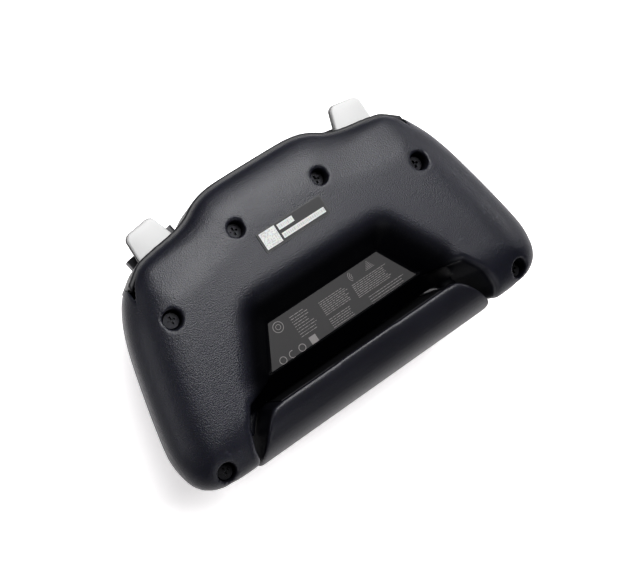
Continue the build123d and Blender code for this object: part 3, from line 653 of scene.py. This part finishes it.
def make_marks():
    """Generic faint print on the hollow's floor: rings, arcs, a triangle and rows of dashes."""
    marks = [ring_mark(-21.0, -8.6, 2.0, 1.75), ring_mark(-21.0, -8.6, 1.0, 0.8)]
    for k in range(3):
        marks.append(ring_mark(11.5, -8.0, 0.8 + 0.6 * k, 0.62 + 0.6 * k, 0.33, 2.1))
    for k in range(6):
        half = 1.9 - 0.32 * k
        y = -9.2 + 0.5 * k
        marks.append(mark_plate(box_corners(18.2 - half, y, 18.2 + half, y + 0.14)))
    rng = np.random.default_rng(9)
    for block in DASH_BLOCKS:
        marks += dash_rows(block, rng)
    for k, x in enumerate((-25.8, -21.8, -17.8)):
        marks.append(ring_mark(x, -19.0, 1.4, 1.1, 0.62 if k % 2 else 1.0, 1.1))
    marks.append(mark_plate(box_corners(-14.2, -20.2, -11.4, -17.4)))
    merged("floor_marks", marks)


# ---- levers ----
def make_levers():
    """Two pale tabs on the swept far edge, each over a slightly larger grey plate whose rim is a painted
    shadow around the tab.
    """
    x, y, z = LEVER_ROOT
    reach, corner = 16.1, 2.6
    for side, name in ((1, "right"), (-1, "left")):
        outward = Vector((side * sin(FAR_TURN), cos(FAR_TURN), 0))
        base = (Vector((side * x, y, z)) - outward * 7.5) * MM
        place = Matrix.Translation(base) @ Matrix.Rotation(-side * FAR_TURN, 4, "Z")
        right = [(7.1, -2.5), (7.1, 7.5)]
        for a in np.linspace(0, 1.57, 9):
            right.append((6.0 - corner + corner * cos(a), reach - corner + corner * sin(a)))
        outline = right + [(-px, py) for px, py in reversed(right)]
        # grey plate sticks out past the tab's sides and far end as a thin painted shadow outline
        painted_outline = [(px * 1.05, py + (0.35 if py > 8 else 0)) for px, py in outline]
        body = f"tab_{name}"
        plate(f"lever_shadow_outline_{name}", painted_outline, -1.5, -0.3, PAINTED_LEVER_SHADOW, body, 0.2, (), place)
        replaced = (f"lever_{name}",)
        plate(f"lever_tab_{name}", outline, -1.5, 1.5, WHITE, body, 0.6, replaced, place)


# ---- stage ----
LIGHTS = [
    ("top_light", (0.24, 0.36, 1.15), 0.7, 19),
    ("far_light", (1.0, 0.9, 0.8), 0.6, 4),
    ("left_light", (-1.2, 0.3, 0.6), 0.5, 4.0),
    ("right_light", (1.25, 0.1, 0.55), 0.6, 5),
    ("near_light", (-0.2, -1.1, 0.6), 0.6, 3.0),
]


def pale_floor():
    """White table that the camera sees brighter than the object does."""
    material = bpy.data.materials.new("pale_floor")
    material.use_nodes = True
    graph = material.node_tree
    shader = graph.nodes["Principled BSDF"]
    shader.inputs["Base Color"].default_value = (0.93, 0.92, 0.925, 1)
    shader.inputs["Roughness"].default_value = 0.7
    shader.inputs["Emission Color"].default_value = (1, 0.985, 0.99, 1)
    path = graph.nodes.new("ShaderNodeLightPath")
    glow = map_range(graph, path.outputs["Is Camera Ray"], 0.10, 0.52)
    graph.links.new(glow, shader.inputs["Emission Strength"])
    return material


def make_floor():
    bm = bmesh.new()
    bmesh.ops.create_grid(bm, x_segments=1, y_segments=1, size=3.0)
    mesh = bpy.data.meshes.new("floor")
    bm.to_mesh(mesh)
    bm.free()
    mesh.materials.append(pale_floor())
    floor = bpy.data.objects.new("floor", mesh)
    bpy.context.collection.objects.link(floor)


def make_stage():
    """Floor, area lights aimed at the object (metres and watts), a dim world and the picture's contrast."""
    make_floor()
    for name, place, size, power in LIGHTS:
        data = bpy.data.lights.new(name, "AREA")
        data.size = size
        data.energy = power
        light = bpy.data.objects.new(name, data)
        bpy.context.collection.objects.link(light)
        light.location = place
        aim = Vector((0, 0, 0.04)) - Vector(place)
        light.rotation_euler = aim.to_track_quat("-Z", "Y").to_euler()
    world = bpy.data.worlds.new("studio")
    world.use_nodes = True
    sky = world.node_tree.nodes["Background"]
    sky.inputs["Color"].default_value = (1, 0.99, 0.995, 1)
    sky.inputs["Strength"].default_value = 0.08
    scene = bpy.context.scene
    scene.world = world
    scene.view_settings.view_transform = "Standard"
    scene.view_settings.gamma = 0.75


def make_camera():
    """Pinhole view of the underside: tilt about two axes, then the turn in the picture."""
    tilt_x, tilt_y, roll = radians(-15.9), radians(2.5), radians(-33.64)
    focal, width = 1100.0, 640.0
    target = Vector((-2.2, -6.3, 60.5)) * MM
    distance = 377.6 * MM
    d = Vector((tan(tilt_x), tan(tilt_y), 1)).normalized()
    r = (Vector((1, 0, 0)) - d.x * d).normalized()
    u = d.cross(r)
    right = cos(roll) * r + sin(roll) * u
    up = -sin(roll) * r + cos(roll) * u
    data = bpy.data.cameras.new("camera")
    data.sensor_width = 36
    data.lens = focal / width * data.sensor_width
    data.clip_start = 0.01
    camera = bpy.data.objects.new("camera", data)
    bpy.context.collection.objects.link(camera)
    place = target + d * distance
    camera.matrix_world = Matrix.Translation(place) @ Matrix((right, up, d)).transposed().to_4x4()
    bpy.context.scene.camera = camera


dress_frame()
make_camera()
make_casing()
make_bezel()
make_jaw()
make_label()
make_floor_panel()
make_marks()
make_levers()
make_stage()
